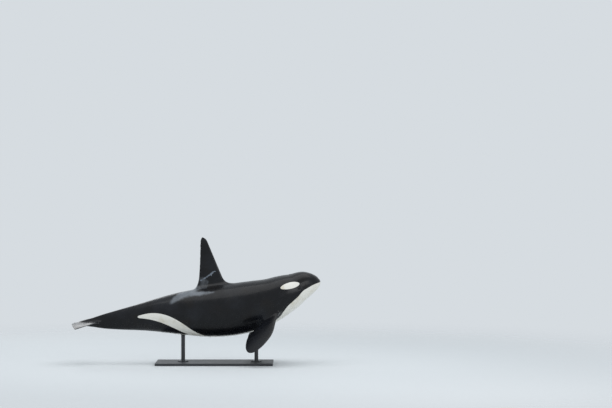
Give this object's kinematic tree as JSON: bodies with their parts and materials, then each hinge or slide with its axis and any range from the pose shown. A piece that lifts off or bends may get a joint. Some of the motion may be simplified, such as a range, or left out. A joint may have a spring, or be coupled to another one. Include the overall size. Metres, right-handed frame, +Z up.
{
  "type": "orca model",
  "caption": "Life-size adult male orca with its head lifted to breathe, held over a flat display base by short rods under the chest and the tail.",
  "frame": {"origin": "on the floor, at the middle of the underside of the stand's base", "axes": "+X towards the animal's nose, +Y towards its left side, +Z up"},
  "size_m": [6.3503, 2.502, 3.2535],
  "materials": {
    "black_skin": "wet gloss",
    "white_skin": "wet gloss",
    "eye": "polished",
    "stand_steel": "satin powder coat"
  },
  "bodies": {
    "root": {"head": "black_skin", "lower_jaw": "white_skin", "chest": "black_skin", "trunk": "black_skin", "tail_stock": "black_skin", "flukes": "black_skin", "dorsal_fin": "black_skin", "flipper_left": "black_skin", "flipper_right": "black_skin", "eye_left": "eye", "eye_right": "eye", "stand_base": "stand_steel", "stand_rod_front": "stand_steel", "stand_rod_rear": "stand_steel"}
  },
  "joints": []
}
